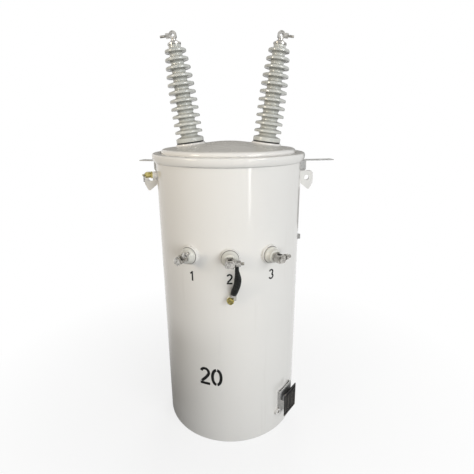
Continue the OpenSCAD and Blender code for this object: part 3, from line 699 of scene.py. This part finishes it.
def numeral(g, digit, at, low, tall, width):
    for k, stroke in enumerate(DIGITS[digit]):
        def place(x, y, h, k=k):
            a = math.radians(at) + x * tall / TANK_R
            r = TANK_R + h + (INK_LAP * k if h > 0 else 0)
            return (r * math.sin(a), -r * math.cos(a), low + y * tall)
        g.strip(stroke, width / tall, INK_LOW, INK_HIGH, place)


g = Geo()
for digit, at in (("1", -29.4), ("2", -0.5), ("3", 31.9)):
    numeral(g, digit, at, *SMALL)
for digit, at in (("2", -21.5), ("0", -11.7)):
    numeral(g, digit, at, *LARGE)
g.make("stencil_numerals", INK, "plate_black", sharp=60)

# nameplate: an empty ruled table and four rivets
RULE_W, RULE_LOW, RULE_HIGH = 0.8, -0.2, 0.18
TABLE_X, TABLE_Y, RIVET_X, RIVET_Y = 34, 41, 34.5, 42
g = Geo()
m = wall(*PLATE_PLACE, PLATE_OUT)


def ruled(x0, y0, x1, y1):
    g.strip(line((x0, y0), (x1, y1)), RULE_W, RULE_LOW, RULE_HIGH, lambda x, y, h: m @ Vector((x, y, h)))


for y in (-TABLE_Y, -30, -22, -14, -6, 2, 10, 18, 26, TABLE_Y):
    ruled(-TABLE_X, y, TABLE_X, y)
for x, y0, y1 in ((-TABLE_X, -TABLE_Y, TABLE_Y), (TABLE_X, -TABLE_Y, TABLE_Y), (-10, -30, 26),
                  (14, -30, 26)):
    ruled(x, y0, x, y1)
for x in (-RIVET_X, RIVET_X):
    for y in (-RIVET_Y, RIVET_Y):
        g.lathe([(2.4, -0.2), (2.4, 0.5), (2.0, 1.1), (1.2, 1.5), (0, 1.6)], 24, m @ move(x, y, 0))
g.make("nameplate_rules", IRON, "tinned_metal", sharp=40)

# camera, from the photograph's perspective
CAM_AT = (0, -1.2062, 1.0156)
PITCH, YAW, ROLL = math.radians(16.982), math.radians(1.186), math.radians(-0.388)
FOCAL_PX, IMAGE_PX, SENSOR = 367.06, 474, 36
ahead = Vector((math.sin(YAW) * math.cos(PITCH), math.cos(YAW) * math.cos(PITCH), -math.sin(PITCH)))
level = Vector((math.cos(YAW), -math.sin(YAW), 0))
upright = level.cross(ahead)
right = math.cos(ROLL) * level + math.sin(ROLL) * upright
up = -math.sin(ROLL) * level + math.cos(ROLL) * upright
cam = bpy.data.cameras.new("camera")
cam.sensor_width = SENSOR
cam.lens = FOCAL_PX / IMAGE_PX * SENSOR
cam_ob = bpy.data.objects.new("camera", cam)
cam_ob.matrix_world = Matrix((right, up, -ahead)).transposed().to_4x4()
cam_ob.location = CAM_AT
scene.collection.objects.link(cam_ob)
scene.camera = cam_ob


# lamps, in metres and watts
def lamp(name, loc, aim, size, power, color, spread=180):
    data = bpy.data.lights.new(name, "AREA")
    data.shape = "RECTANGLE"
    data.size, data.size_y = size
    data.energy = power
    data.spread = math.radians(spread)
    data.color = color
    ob = bpy.data.objects.new(name, data)
    ob.location = loc
    ob.rotation_euler = (Vector(aim) - Vector(loc)).to_track_quat("-Z", "Y").to_euler()
    ob.visible_camera = False
    scene.collection.objects.link(ob)
    return ob


lamp("key_left", (-2.3, -1.6, 1.7), (0, 0, 0.9), (0.8, 0.8), 1.7, (1.0, 0.88, 0.7), 36)
lamp("key_right", (2.3, -2.5, 1.9), (0, 0, 0.6), (1.4, 1.4), 46, (0.98, 0.99, 1.0))
lamp("fill", (1.0, -2.8, 0.8), (0, 0, 0.35), (1.2, 1.0), 33, (0.96, 0.985, 1.0)).visible_glossy = False
lamp("strip", (1.74, -3.0, 0.3), (0, 0, 0.5), (0.16, 0.6), 2.2, (1, 1, 1))
lamp("back", (0.5, 3.2, 1.0), (0, 0, 0.6), (1.4, 1.4), 60, (1, 1, 0.99)).visible_glossy = False


# world: white to the camera, in gloss and through glass, dimmer as light
def seen(tree):
    """1 for what the camera, gloss and glass see."""
    rays = add_node(tree, "ShaderNodeLightPath").outputs
    share = rays["Is Camera Ray"]
    for name in ("Is Glossy Ray", "Is Transmission Ray"):
        share = add_node(tree, "ShaderNodeMath", {0: share, 1: rays[name]}, operation="MAXIMUM").outputs[0]
    return share


WORLD_LIGHT, WORLD_SEEN = 0.36, 1.0
world = bpy.data.worlds.new("world")
scene.world = world
world.use_nodes = True
tree = world.node_tree
background = tree.nodes["Background"]
background.inputs["Color"].default_value = (1, 1, 1, 1)
strength = add_node(tree, "ShaderNodeMapRange",
                    {"Value": seen(tree), "To Min": WORLD_LIGHT, "To Max": WORLD_SEEN}).outputs[0]
tree.links.new(strength, background.inputs["Strength"])


def stage_sheet(name, corners, look):
    me = bpy.data.meshes.new(name)
    me.from_pydata(corners, [], [list(range(len(corners)))])
    me.materials.append(look)
    ob = bpy.data.objects.new(name, me)
    scene.collection.objects.link(ob)
    return ob


def surface(tree, socket):
    tree.links.new(socket, tree.nodes["Material Output"].inputs["Surface"])


def object_place(tree):
    return add_node(tree, "ShaderNodeTexCoord").outputs["Object"]


def distance(tree, place):
    return add_node(tree, "ShaderNodeVectorMath", {0: place}, operation="LENGTH").outputs["Value"]


# pale floor: it fades to white away from the object and keeps the object's shadow, and is grey as light
FLOOR_R, FLOOR_Z = 9, -0.0005
floor = bpy.data.materials.new("floor")
floor.use_nodes = True
tree = floor.node_tree
tree.nodes.remove(tree.nodes["Principled BSDF"])
grey = add_node(tree, "ShaderNodeBsdfDiffuse", {"Color": (0.22, 0.22, 0.22, 1)}).outputs[0]
pale = add_node(tree, "ShaderNodeBsdfDiffuse", {"Color": (0.9, 0.9, 0.9, 1)}).outputs[0]
white = add_node(tree, "ShaderNodeEmission").outputs[0]
fade = add_node(tree, "ShaderNodeMapRange",
                {"Value": distance(tree, object_place(tree)), "From Min": 0.3, "From Max": 1.1,
                 "To Min": 0.75, "To Max": 1.0}).outputs[0]
shown = add_node(tree, "ShaderNodeMixShader", {0: fade, 1: pale, 2: white}).outputs[0]
surface(tree, add_node(tree, "ShaderNodeMixShader", {0: seen(tree), 1: grey, 2: shown}).outputs[0])
stage_sheet("floor", [(x, y, FLOOR_Z) for x, y in arc(0, 0, FLOOR_R, 0, 360, 64)[:-1]], floor)


# two plain studio cards, out of the picture: a grey one behind the object and a dark one on the floor
# at its left
def card(name, corners, tone):
    look = bpy.data.materials.new(name)
    look.use_nodes = True
    shader = look.node_tree.nodes["Principled BSDF"].inputs
    shader["Base Color"].default_value = (*tone, 1)
    shader["Roughness"].default_value = 0.9
    shader["Specular IOR Level"].default_value = 0.1
    ob = stage_sheet(name, corners, look)
    ob.visible_camera = False
    ob.visible_transmission = False
    ob.visible_shadow = False
    return ob


CARD_Y, CARD_Z = 2.2, 0.001
back_outline = [(-0.9, 0.85), (0.5, 0.85), (0.5, 0.0), (1.8, 0.0), (1.8, 2.0), (-0.9, 2.0)]
floor_outline = [(-1.0, -1.0), (0.15, -1.0), (0.15, 0.5), (-1.0, 0.5)]
card("card_back", [(x, CARD_Y, z) for x, z in back_outline], (0.42, 0.41, 0.395))
floor_card = card("card_floor", [(x, y, CARD_Z) for x, y in floor_outline], (0.04, 0.04, 0.038))
floor_card.visible_diffuse = False

# the dark card fades out towards its edges
tree = floor_card.data.materials[0].node_tree
place = object_place(tree)
axes = add_node(tree, "ShaderNodeSeparateXYZ", {0: place}).outputs
share = 1.0
for socket, none, full in ((distance(tree, place), 0.92, 0.7), (axes[0], 0.12, -0.3), (axes[1], 0.45, -0.1)):
    ramp = add_node(tree, "ShaderNodeMapRange",
                    {"Value": socket, "From Min": none, "From Max": full}).outputs[0]
    share = add_node(tree, "ShaderNodeMath", {0: share, 1: ramp}, operation="MULTIPLY").outputs[0]
clear = add_node(tree, "ShaderNodeBsdfTransparent").outputs[0]
dark = tree.nodes["Principled BSDF"].outputs[0]
surface(tree, add_node(tree, "ShaderNodeMixShader", {0: share, 1: clear, 2: dark}).outputs[0])

scene.view_settings.view_transform = "Standard"
